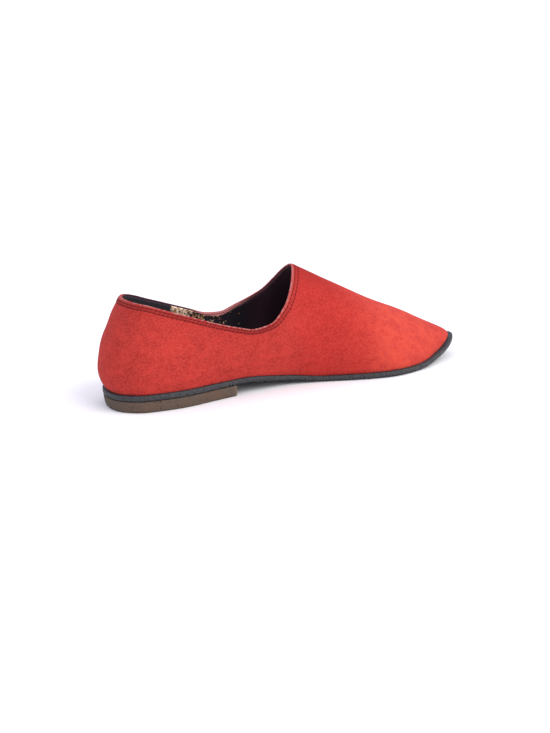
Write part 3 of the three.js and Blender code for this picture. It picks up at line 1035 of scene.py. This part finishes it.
def build_insole(material):
    """The insole as a closed sheet between the linings, dished a little and turned up along its edge.

    Rings run across the top and back below. The dish is 1 less the sixth power of the way from the middle.
    """
    places = unturn(np.linspace(0.02, 0.985, 150))
    t = np.linspace(0, 1, 41)
    level = feather(places) + JUTE + GAP + INSOLE
    ends = []
    for side in (MEDIAL, LATERAL):
        sides = np.full(len(places), side)
        ends.append(wall(places, sides, share_at_height(places, sides, level), INSOLE_INSET))
    top = ends[0][:, None] + (ends[1] - ends[0])[:, None] * t[None, :, None]
    bottom = top.copy()
    bowl = 1 - np.abs(2 * t - 1) ** 6
    top[..., 2] = level[:, None] + INSOLE_EDGE - INSOLE_DISH * bowl[None]
    bottom[..., 2] = (level - INSOLE)[:, None]
    ring = np.concatenate([top, bottom[:, ::-1]], 1)
    back = np.stack([top[0], bottom[0]])
    front = np.stack([bottom[-1], top[-1]])
    points, faces = joined((ring, True, True), (back, False, True), (front, False, True))
    return mesh_piece("insole_sock", points, faces, material)


# Pieces of the sole


def rounded(corners, radius, shrink, count):
    """A closed plan outline of evenly spaced points, with each corner cut by a parabola a radius long.

    Shrink pulls the corners towards the middle first.
    """
    corners = np.array(corners, float)
    corners = corners - shrink * math.sqrt(2) * unit(corners - corners.mean(0))
    start, stop = (
        corners + to * np.minimum(radius / np.linalg.norm(to, axis=1), 0.5)[:, None]
        for to in (np.roll(corners, 1, axis=0) - corners, np.roll(corners, -1, axis=0) - corners)
    )
    t = np.linspace(0, 1, 9)[:, None, None]
    curve = (1 - t) ** 2 * start + 2 * t * (1 - t) * corners + t * t * stop
    path = curve.transpose(1, 0, 2).reshape(-1, 2)
    path = np.concatenate([path, path[:1]])
    arc = arc_of(path)
    return along_path(np.linspace(0, arc[-1], count, endpoint=False), arc, path)


def depth_inside(points, outline):
    """How deep plan points lie inside a closed outline: their distance from it, negative outside.

    A point is inside if a line from it to one side crosses the outline an odd number of times.
    """
    a = outline
    b = np.roll(outline, -1, axis=0)
    depth = np.full(len(points), -10.0)
    near = ((points > a.min(0) - 3) & (points < a.max(0) + 3)).all(1)
    found = points[near]
    spans = (a[:, 1] > found[:, 1:]) != (b[:, 1] > found[:, 1:])
    run = np.where(b[:, 1] == a[:, 1], 1, b[:, 1] - a[:, 1])
    crossing = a[:, 0] + (found[:, 1:] - a[:, 1]) * (b[:, 0] - a[:, 0]) / run
    inside = (spans & (found[:, :1] < crossing)).sum(1) % 2 == 1
    gap = distance_to_loop(found, outline)
    depth[near] = np.where(inside, gap, -gap)
    return depth


def plan_sides(medial_x, lateral_x):
    """The outsole's outline on both sides at the given places, and its normals that point inwards.

    The normals are the tangents of the whole outline, turned a quarter to the left.
    """
    medial = np.stack([medial_x, -plan_half(medial_x, MEDIAL)], -1)
    lateral = np.stack([lateral_x, plan_half(lateral_x, LATERAL)], -1)
    sides = []
    for line, sense in ((medial, 1), (lateral, -1)):
        along = unit(np.gradient(line, axis=0)) * sense
        inward = np.stack([-along[:, 1], along[:, 0]], -1)
        inward[0] = (1, 0)
        sides.append((line, inward))
    return sides


def ring_plan(sides, edge, count):
    """Rings of plan points: in from one side by an edge's insets, across the ground face and out again.

    With them come the edge's rows for the points of a ring, where the ground face repeats the last row.
    """
    near, far = (line[:, None] + inward[:, None] * edge[None, :, :1] for line, inward in sides)
    t = np.linspace(0, 1, count)[1:-1]
    inner = near[:, -1:] + (far[:, -1:] - near[:, -1:]) * t[None, :, None]
    rows = np.concatenate([edge, np.repeat(edge[-1:], len(t), 0), edge[::-1]])
    return np.concatenate([near, inner, far[:, ::-1]], 1), rows


def build_outsole(material):
    """The rubber as a closed surface: at each place along the shoe a ring of edge, ground face and top.

    The ground face follows the side profile of the sole, raised by rib grooves near the edge and over the
    toe, by the windows, which fall away smoothly, and by a thin bare ring.
    """
    ribs = np.arange(RIB_START, LENGTH - 1, RIB_PITCH / 6)
    places = np.concatenate([
        unturn(np.linspace(0, turn(RIB_START), 70, endpoint=False)),
        ribs,
        unturn(np.linspace(turn(ribs[-1]), 1, 9)[1:]),
    ])
    sides = plan_sides(places, places)
    for _, inward in sides:
        inward[-1] = (-1, 0)
    plan, rows = ring_plan(sides, EDGE, 150)
    height, share = rows[:, 1], rows[:, 2]
    flat = plan.reshape(-1, 2)
    x, y = plan[..., 0], plan[..., 1]
    outline = np.concatenate([sides[0][0], sides[1][0][-2:0:-1]])
    inset = distance_to_loop(flat, outline).reshape(x.shape)
    wave = 0.5 - 0.5 * np.cos(2 * math.pi * (x - RIB_START) / RIB_PITCH)
    band = np.maximum(1 - smooth(RIB_BAND - 0.8, RIB_BAND, inset), smooth(RIB_TOE - 0.4, RIB_TOE + 0.4, x))
    field = RIB_DEPTH * wave ** 0.8 * band * smooth(RIB_START - 0.1, RIB_START + 0.6, x)
    for corners in WINDOWS.values():
        depth = depth_inside(flat, rounded(corners, WINDOW_CORNER, 0, 160)).reshape(x.shape)
        field = np.maximum(field, WINDOW_DEPTH * smooth(-0.35, 0.75, depth))
    ring_line = bell(np.hypot(x - RING_CENTRE[0], y - RING_CENTRE[1]) - RING_RADIUS, RING_WIDTH)
    z = SOLE["ground"](x) + height + share * (field + RING_DEPTH * ring_line)
    points, faces = joined((np.concatenate([plan, z[..., None]], -1), True, False))
    # Mask for the painted shade in the rib grooves and the bare ring.
    groove_shade_mask = np.maximum(wave * band * share, 0.75 * ring_line)
    return mesh_piece("rubber_outsole", points, faces, material, {"groove_shade_mask": groove_shade_mask})


def build_heel_lift(material):
    """The lift as a closed surface: rings of edge profile, ground face and top, and a slanting breast.

    Rings run from the back of the heel to the breast, with the inner side ahead of the outer one. The ground
    face is worn off along the back of the outer side.
    """
    share = np.linspace(0, 1, 90)
    sides = plan_sides(unturn(share * turn(BREAST_MEDIAL)), unturn(share * turn(BREAST_LATERAL)))
    plan, rows = ring_plan(sides, LIFT_EDGE + (GAP, 0), 60)
    height = rows[:, 1]
    x, y = plan[..., 0], plan[..., 1]
    low = 1 - height / height.max()
    worn = HEEL_WEAR * smooth(0, 14, 0.75 * y - x + 8) * low
    ripples = HEEL_RIPPLE * np.sin(0.9 * x + 0.4 * y) * np.sin(0.7 * y - 0.3 * x) * low
    z = height + worn + np.maximum(ripples, 0)
    ring = np.concatenate([plan, z[..., None]], -1)
    breast = np.stack([ring[-1], ring[-1]])
    breast[1, :, 2] = height.max()
    points, faces = joined((ring, True, False), (breast, False, False))
    width = plan_half(BREAST_MEDIAL, MEDIAL) + plan_half(BREAST_LATERAL, LATERAL)
    ahead = unit(np.array([width, BREAST_MEDIAL - BREAST_LATERAL]))
    behind = -((points[:, :2] - breast[0, 0, :2]) * ahead).sum(-1)
    away = (((points[:, :2] - SCUFF_CENTRE) / SCUFF_SIZE) ** 2).sum(-1)
    scuff = np.exp(-away) * (points[:, 2] < 2)
    return mesh_piece("heel_board_lift", points, faces, material, {"breast": behind, "scuff": scuff})


def strand_number(plan, window):
    """The strand of the forefoot on which each plan point lies, counted forward, and its share across it."""
    lean = math.tan(math.radians(LEAN_LATERAL if "lateral" in window else LEAN_MEDIAL))
    return (plan[..., 0] - STRAND_START - np.abs(plan[..., 1] - MIDDLE_BAR) * lean) / STRAND_PITCH


def worn_share(plan, window):
    """How deep plan points lie in a worn patch: 1 in its middle, 0 on its edge, down to -1 away from it."""
    number = strand_number(plan, window)
    worn = np.full(number.shape, -1.0)
    for strand, middle, reach in WORN_PATCHES[window]:
        away = np.hypot((number - strand - 0.5) / PATCH_WIDTH, (plan[..., 1] - middle) / reach)
        worn = np.maximum(worn, 1 - away)
    return worn


def strand_field(plan, window):
    """How far the braid lies above its crests, and how near its crest each point is, from 0 to 1.

    Under the forefoot the strands sweep forward from the middle bar, and each is round across and twisted
    along. In the waist's pad, grooves fall away beside a few lines.
    """
    x, y = plan[..., 0], plan[..., 1]
    if window == "waist":
        gap = np.full(x.shape, 50.0)
        for from_x, from_y, to_x, to_y in WAIST_GROOVES:
            along = np.array([to_x - from_x, to_y - from_y])
            away = plan - (from_x, from_y)
            share = np.clip((away * along).sum(-1) / (along ** 2).sum(), 0, 1)
            gap = np.minimum(gap, np.linalg.norm(away - share[..., None] * along, axis=-1))
        twist = np.sin(2 * math.pi * (x / 2.6 + y / 5.5)) * np.sin(2 * math.pi * (y / 3.1 - x / 9))
        crest = smooth(0, 2.6, gap)
        return PAD_GROOVE * bell(gap, PAD_GROOVE_WIDTH) + PAD_TWIST * twist * crest, crest
    across = strand_number(plan, window)
    wobble = 0.07 * np.sin(0.5 * y + 2.1 * np.floor(across)) + 0.04 * np.sin(1.3 * y)
    part = (across + wobble) % 1
    off = np.abs(2 * part - 1)
    twist = np.sin(2 * math.pi * (y / 2.5 + 1.2 * part))
    return STRAND_DEPTH * off ** 3 + STRAND_TWIST * twist * (1 - off ** 4), 1 - off


def build_braid(material):
    """The braid in the windows as closed pads: rings from the middle of a window out to its outline.

    A ring's height is the sole's ground face, the recess and the strands' own relief, turned up at the edge.
    """
    around, rings = 260, 46
    ends = np.array([0.0, *np.linspace(0.03, 0.985, rings), 1.0, 1.0, 0.0])
    pads, bare, crests = [], [], []
    for window, corners in WINDOWS.items():
        outline = rounded(corners, WINDOW_CORNER, PAD_INSET, around)
        middle = outline.mean(0)
        plan = middle + (outline - middle)[None] * ends[:, None, None]
        relief, crest = strand_field(plan, window)
        edge = (1 - ends[:, None]) * np.linalg.norm(outline - middle, axis=-1)[None]
        turned = PAD_EDGE * (1 - smooth(0, 1.3, edge))
        ground = SOLE["ground"](plan[..., 0])
        z = ground + np.minimum(WINDOW_RECESS + relief + turned, WINDOW_DEPTH - 0.1)
        z[0] = z[1].mean()
        z[-2:] = ground[-2:] + WINDOW_DEPTH - 0.05
        z[-1] = z[-1].mean()
        pads.append(np.concatenate([plan, z[..., None]], -1))
        bare.append(worn_share(plan, window))
        crests.append(np.where(edge > 0.8, crest, 0))
    faces = like_faces(len(pads), len(ends), around)
    return mesh_piece("jute_braid", pads, faces, material, {"bare": bare, "crest": crests})


# Stage

FLOOR_REACH = 3000
FLOOR_POINTS = 25
FLOOR_HEIGHT = -0.05
SURROUND = (1.0, 1.02, 1.15, 1.0)
TOP_LIGHT = {"place": (250, -250, 900), "aim": (140, 0, 20), "size": 900, "power": 0.5}
WIDE_LIGHT = {"from": (0.55, -0.8, 0.72), "angle": 50, "strength": 1.9, "colour": (1.0, 0.97, 0.9)}

# The camera: where it looks in the shoe's axes, its angles, its distance and its picture scale
LOOK_AT = (131.0, 0.0, 35.0)
AZIMUTH = -24.414
ELEVATION = 12.628
ROLL = 2.308
DISTANCE = 640.0
PIXELS_PER_MM = 1.459
PICTURE = (550, 733)
PICTURE_CENTRE = (289.57, 327.25)
SENSOR = 36.0


def hang_light(name, kind, turned, **settings):
    """A light with the given settings, turned by a quaternion."""
    data = bpy.data.lights.new(name, kind)
    for key, value in settings.items():
        setattr(data, key, value)
    light = bpy.data.objects.new(name, data)
    light.rotation_mode = "QUATERNION"
    light.rotation_quaternion = turned
    bpy.context.scene.collection.objects.link(light)
    return light


def build_stage(scene):
    """A pale floor, a white surround, a soft light above, a wide sun with soft shadows, and the camera."""
    line = np.linspace(-FLOOR_REACH, FLOOR_REACH, FLOOR_POINTS)
    x, y = np.meshgrid(line, line, indexing="ij")
    points, faces = joined((np.stack([x, y, np.full_like(x, FLOOR_HEIGHT)], -1), False, True))
    floor = mesh_piece("floor", points, faces, floor_finish(scene.shoe_colours))

    world = bpy.data.worlds.new("white_surround")
    world.use_nodes = True
    background = world.node_tree.nodes["Background"].inputs
    background["Color"].default_value = SURROUND
    background["Strength"].default_value = 1.0
    scene.world = world
    place = Vector(in_frame(TOP_LIGHT["place"]))
    towards = Vector(in_frame(TOP_LIGHT["aim"])) - place
    top = hang_light("top_light", "AREA", towards.to_track_quat("-Z", "Y"),
                     size=TOP_LIGHT["size"] * MM, energy=TOP_LIGHT["power"])
    top.location = place
    hang_light("wide_light", "SUN", Vector(WIDE_LIGHT["from"]).to_track_quat("Z", "Y"),
               angle=math.radians(WIDE_LIGHT["angle"]), energy=WIDE_LIGHT["strength"],
               color=WIDE_LIGHT["colour"])
    scene.view_settings.view_transform = "Standard"

    a, e, roll = (math.radians(v) for v in (AZIMUTH, ELEVATION, ROLL))
    back = Vector((math.sin(a) * math.cos(e), -math.cos(a) * math.cos(e), math.sin(e)))
    right = Vector((math.cos(a), math.sin(a), 0))
    up = back.cross(right)
    right, up = right * math.cos(roll) - up * math.sin(roll), right * math.sin(roll) + up * math.cos(roll)
    data = bpy.data.cameras.new("camera")
    long_side = max(PICTURE)
    data.sensor_width = SENSOR
    data.lens = PIXELS_PER_MM * DISTANCE / long_side * SENSOR
    data.shift_x = -(PICTURE_CENTRE[0] - PICTURE[0] / 2) / long_side
    data.shift_y = -(PICTURE[1] / 2 - PICTURE_CENTRE[1]) / long_side
    camera = bpy.data.objects.new("camera", data)
    place = Vector(in_frame(LOOK_AT)) + back * DISTANCE * MM
    camera.matrix_world = Matrix.Translation(place) @ Matrix((right, up, back)).transposed().to_4x4()
    scene.collection.objects.link(camera)
    scene.camera = camera


# Sizes, colours, operators and panel


def length(name, description, default):
    """A size for the panel, in metres."""
    return bpy.props.FloatProperty(
        name=name, description=description, default=default, min=0.0, precision=5, unit="LENGTH"
    )


def colour(name, description, default):
    """A colour for the panel, from its red, green and blue."""
    return bpy.props.FloatVectorProperty(
        name=name, description=description, default=default + (1.0,), size=4, min=0.0, max=1.0,
        subtype="COLOR",
    )


class ShoeSizes(bpy.types.PropertyGroup):
    """Sizes of the soft pieces."""

    suede: length("Suede", "Thickness of the suede below the fold", 0.001)
    fold_thickness: length("Fold", "Thickness of the suede where it is folded along the topline", 0.0013)
    heel_fold: length("Heel fold", "How much thicker the fold is at the back of the heel", 0.003)
    lining: length("Lining", "Thickness of the lining", 0.0006)
    row_near: length("Near row", "Distance of the first row of stitches from the topline at its dip", 0.0006)
    row_gap: length("Row gap", "Distance from the first row of stitches to the second", 0.00178)
    row_spread: length("Row spread", "How much further off both rows lie at heel and throat", 0.001)
    stitch_pitch: length("Stitch pitch", "Distance from one stitch to the next", 0.0028)
    stitch_length: length("Stitch", "Length of one stitch", 0.0023)
    thread: length("Thread", "Diameter of the thread", 0.0006)


class ShoeColours(bpy.types.PropertyGroup):
    """Colours of the finishes."""

    suede: colour("Suede", "Main colour of the suede", (0.43, 0.031, 0.0242))
    # The darker patches are the suede's own; this colour also paints the shade below the ridge.
    suede_shade: colour("Suede shade", "Colour of its darker patches", (0.31, 0.021, 0.0172))
    suede_deep: colour("Deep suede", "Colour of its base over the instep", (0.38, 0.0165, 0.0142))
    # Painted light: this paler toe colour stands in for light falling from the toe side.
    suede_toe_painted_light: colour("Suede toe", "Colour of the rubbed toe", (0.59, 0.065, 0.034))
    suede_nap: colour("Suede nap", "Colour of its raised fibres", (0.54, 0.068, 0.053))
    fold: colour("Fold", "Colour of the fold along the topline", (0.42, 0.07, 0.064))
    stitched_band: colour("Stitched band", "Colour of the suede between the stitches", (0.2, 0.017, 0.016))
    # Partly the rubbed edge's own colour, partly a painted highlight on the lip's top.
    fold_rubbed_highlight: colour("Rubbed fold", "Colour of its rubbed top", (0.42, 0.18, 0.165))
    # Lit and shaded copies of the fold's inside: painted light along the quarters, painted shade in the
    # throat.
    fold_inside_painted_light: colour("Fold inside", "Colour of the fold inside the shoe", (0.7, 0.25, 0.24))
    fold_inside_painted_shade: colour("Fold shade", "Colour of the fold inside the throat", (0.22, 0.09, 0.095))
    thread: colour("Thread", "Colour of the stitches", (0.1, 0.009, 0.009))
    # Painted reflection: its red tint stands in for light thrown back by the suede.
    lining: colour("Lining", "Colour of the lining in the vamp", (0.06, 0.021, 0.036))
    lining_deep: colour("Deep lining", "Colour of the lining along the quarters", (0.01, 0.0065, 0.012))
    lining_heel: colour("Heel lining", "Colour of the lining round the heel", (0.017, 0.018, 0.025))
    lining_nap: colour("Lining nap", "Colour of its raised threads", (0.05, 0.032, 0.038))
    sock: colour("Insole", "Colour of the insole cover", (0.016, 0.013, 0.015))
    sock_rubbed: colour("Rubbed insole", "Colour of its rubbed places", (0.034, 0.029, 0.031))
    glitter: colour("Glitter", "Colour of the flecks in the lining", (1.0, 0.79, 0.6))
    # Flecks duller by chance, and the painted shade of the flecks further in along the quarters.
    glitter_shade: colour("Glitter shade", "Colour of the duller flecks", (0.36, 0.18, 0.08))
    rubber: colour("Rubber", "Colour of the outsole", (0.034, 0.035, 0.039))
    rubber_dust: colour("Rubber dust", "Colour of its dusty places", (0.072, 0.073, 0.077))
    # Painted shade: the dark colour put in grooves, hollows and between strands.
    rubber_groove_shade: colour("Rubber groove", "Colour deep in its grooves", (0.009, 0.01, 0.012))
    heel: colour("Heel board", "Colour of the heel lift", (0.075, 0.055, 0.044))
    heel_rim: colour("Heel rim", "Colour of its redder patches", (0.095, 0.051, 0.035))
    heel_worn: colour("Worn heel board", "Colour of its scuffed middle", (0.034, 0.03, 0.044))
    heel_pit: colour("Heel pits", "Colour of its pits", (0.018, 0.014, 0.013))
    heel_pale: colour("Pale heel board", "Colour of its fibres and front edge", (0.17, 0.12, 0.075))
    jute: colour("Jute", "Colour of the bare braid", (0.58, 0.45, 0.29))
    jute_shade: colour("Jute shade", "Colour between its fibres", (0.3, 0.21, 0.12))
    jute_coat: colour("Jute coat", "Colour of the coat on the braid", (0.013, 0.013, 0.014))
    jute_dust: colour("Jute dust", "Colour of dust on the coat", (0.05, 0.05, 0.054))
    floor: colour("Floor", "Colour of the floor", (0.92, 0.92, 0.925))


def dress(piece, node):
    """Lets a piece ride on the part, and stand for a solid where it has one."""
    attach(piece, "root")
    if node:
        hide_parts(node)


class SHOE_OT_upper(bpy.types.Operator):
    """Build the suede upper"""

    bl_idname = "shoe.upper"
    bl_label = "Suede Upper"

    def execute(self, context):
        sizes = context.scene.shoe_sizes
        material = suede_finish(context.scene.shoe_colours, sizes.row_gap / MM)
        dress(build_upper(sizes, material), "upper")
        return {"FINISHED"}


class SHOE_OT_lining(bpy.types.Operator):
    """Build the lining inside the upper"""

    bl_idname = "shoe.lining"
    bl_label = "Lining"

    def execute(self, context):
        material = lining_finish(context.scene.shoe_colours)
        dress(build_lining(context.scene.shoe_sizes, material), None)
        return {"FINISHED"}


class SHOE_OT_stitches(bpy.types.Operator):
    """Build the two rows of stitches along the topline"""

    bl_idname = "shoe.stitches"
    bl_label = "Collar Stitches"

    def execute(self, context):
        material = thread_finish(context.scene.shoe_colours)
        dress(build_stitches(context.scene.shoe_sizes, material), None)
        return {"FINISHED"}


class SHOE_OT_insole(bpy.types.Operator):
    """Build the insole"""

    bl_idname = "shoe.insole"
    bl_label = "Insole"

    def execute(self, context):
        dress(build_insole(sock_finish(context.scene.shoe_colours)), "insole")
        return {"FINISHED"}


class SHOE_OT_outsole(bpy.types.Operator):
    """Build the rubber outsole with its ribs and windows"""

    bl_idname = "shoe.outsole"
    bl_label = "Outsole"

    def execute(self, context):
        dress(build_outsole(rubber_finish(context.scene.shoe_colours)), "outsole")
        return {"FINISHED"}


class SHOE_OT_heel_lift(bpy.types.Operator):
    """Build the heel lift"""

    bl_idname = "shoe.heel_lift"
    bl_label = "Heel Lift"

    def execute(self, context):
        dress(build_heel_lift(board_finish(context.scene.shoe_colours)), "heel_lift")
        return {"FINISHED"}


class SHOE_OT_braid(bpy.types.Operator):
    """Build the braid that shows through the windows"""

    bl_idname = "shoe.braid"
    bl_label = "Jute Braid"

    def execute(self, context):
        dress(build_braid(jute_finish(context.scene.shoe_colours)), "jute_midsole")
        return {"FINISHED"}


class SHOE_OT_stage(bpy.types.Operator):
    """Lay the floor, hang the lights and set the camera"""

    bl_idname = "shoe.stage"
    bl_label = "Stage"

    def execute(self, context):
        build_stage(context.scene)
        return {"FINISHED"}


OPERATORS = (
    SHOE_OT_upper,
    SHOE_OT_lining,
    SHOE_OT_stitches,
    SHOE_OT_insole,
    SHOE_OT_outsole,
    SHOE_OT_heel_lift,
    SHOE_OT_braid,
    SHOE_OT_stage,
)


class SHOE_PT_pieces(bpy.types.Panel):
    """Buttons that build the shoe, with its sizes and colours"""

    bl_idname = "SHOE_PT_pieces"
    bl_label = "Suede Slip-on Shoe"
    bl_space_type = "VIEW_3D"
    bl_region_type = "UI"
    bl_category = "Shoe"

    def draw(self, context):
        for operator in OPERATORS:
            self.layout.operator(operator.bl_idname)
        for group in (context.scene.shoe_sizes, context.scene.shoe_colours):
            column = self.layout.column()
            for name in group.__annotations__:
                column.prop(group, name)


CLASSES = (ShoeSizes, ShoeColours, *OPERATORS, SHOE_PT_pieces)


def register():
    """Gives Blender the classes, and its scenes the sizes and colours."""
    for made in CLASSES:
        bpy.utils.register_class(made)
    bpy.types.Scene.shoe_sizes = bpy.props.PointerProperty(type=ShoeSizes)
    bpy.types.Scene.shoe_colours = bpy.props.PointerProperty(type=ShoeColours)


def unregister():
    """Takes them back."""
    del bpy.types.Scene.shoe_colours
    del bpy.types.Scene.shoe_sizes
    for made in reversed(CLASSES):
        bpy.utils.unregister_class(made)


def main():
    """Builds every piece and the stage."""
    register()
    bpy.ops.shoe.upper()
    bpy.ops.shoe.lining()
    bpy.ops.shoe.stitches()
    bpy.ops.shoe.insole()
    bpy.ops.shoe.outsole()
    bpy.ops.shoe.heel_lift()
    bpy.ops.shoe.braid()
    bpy.ops.shoe.stage()


if __name__ == "__main__":
    main()
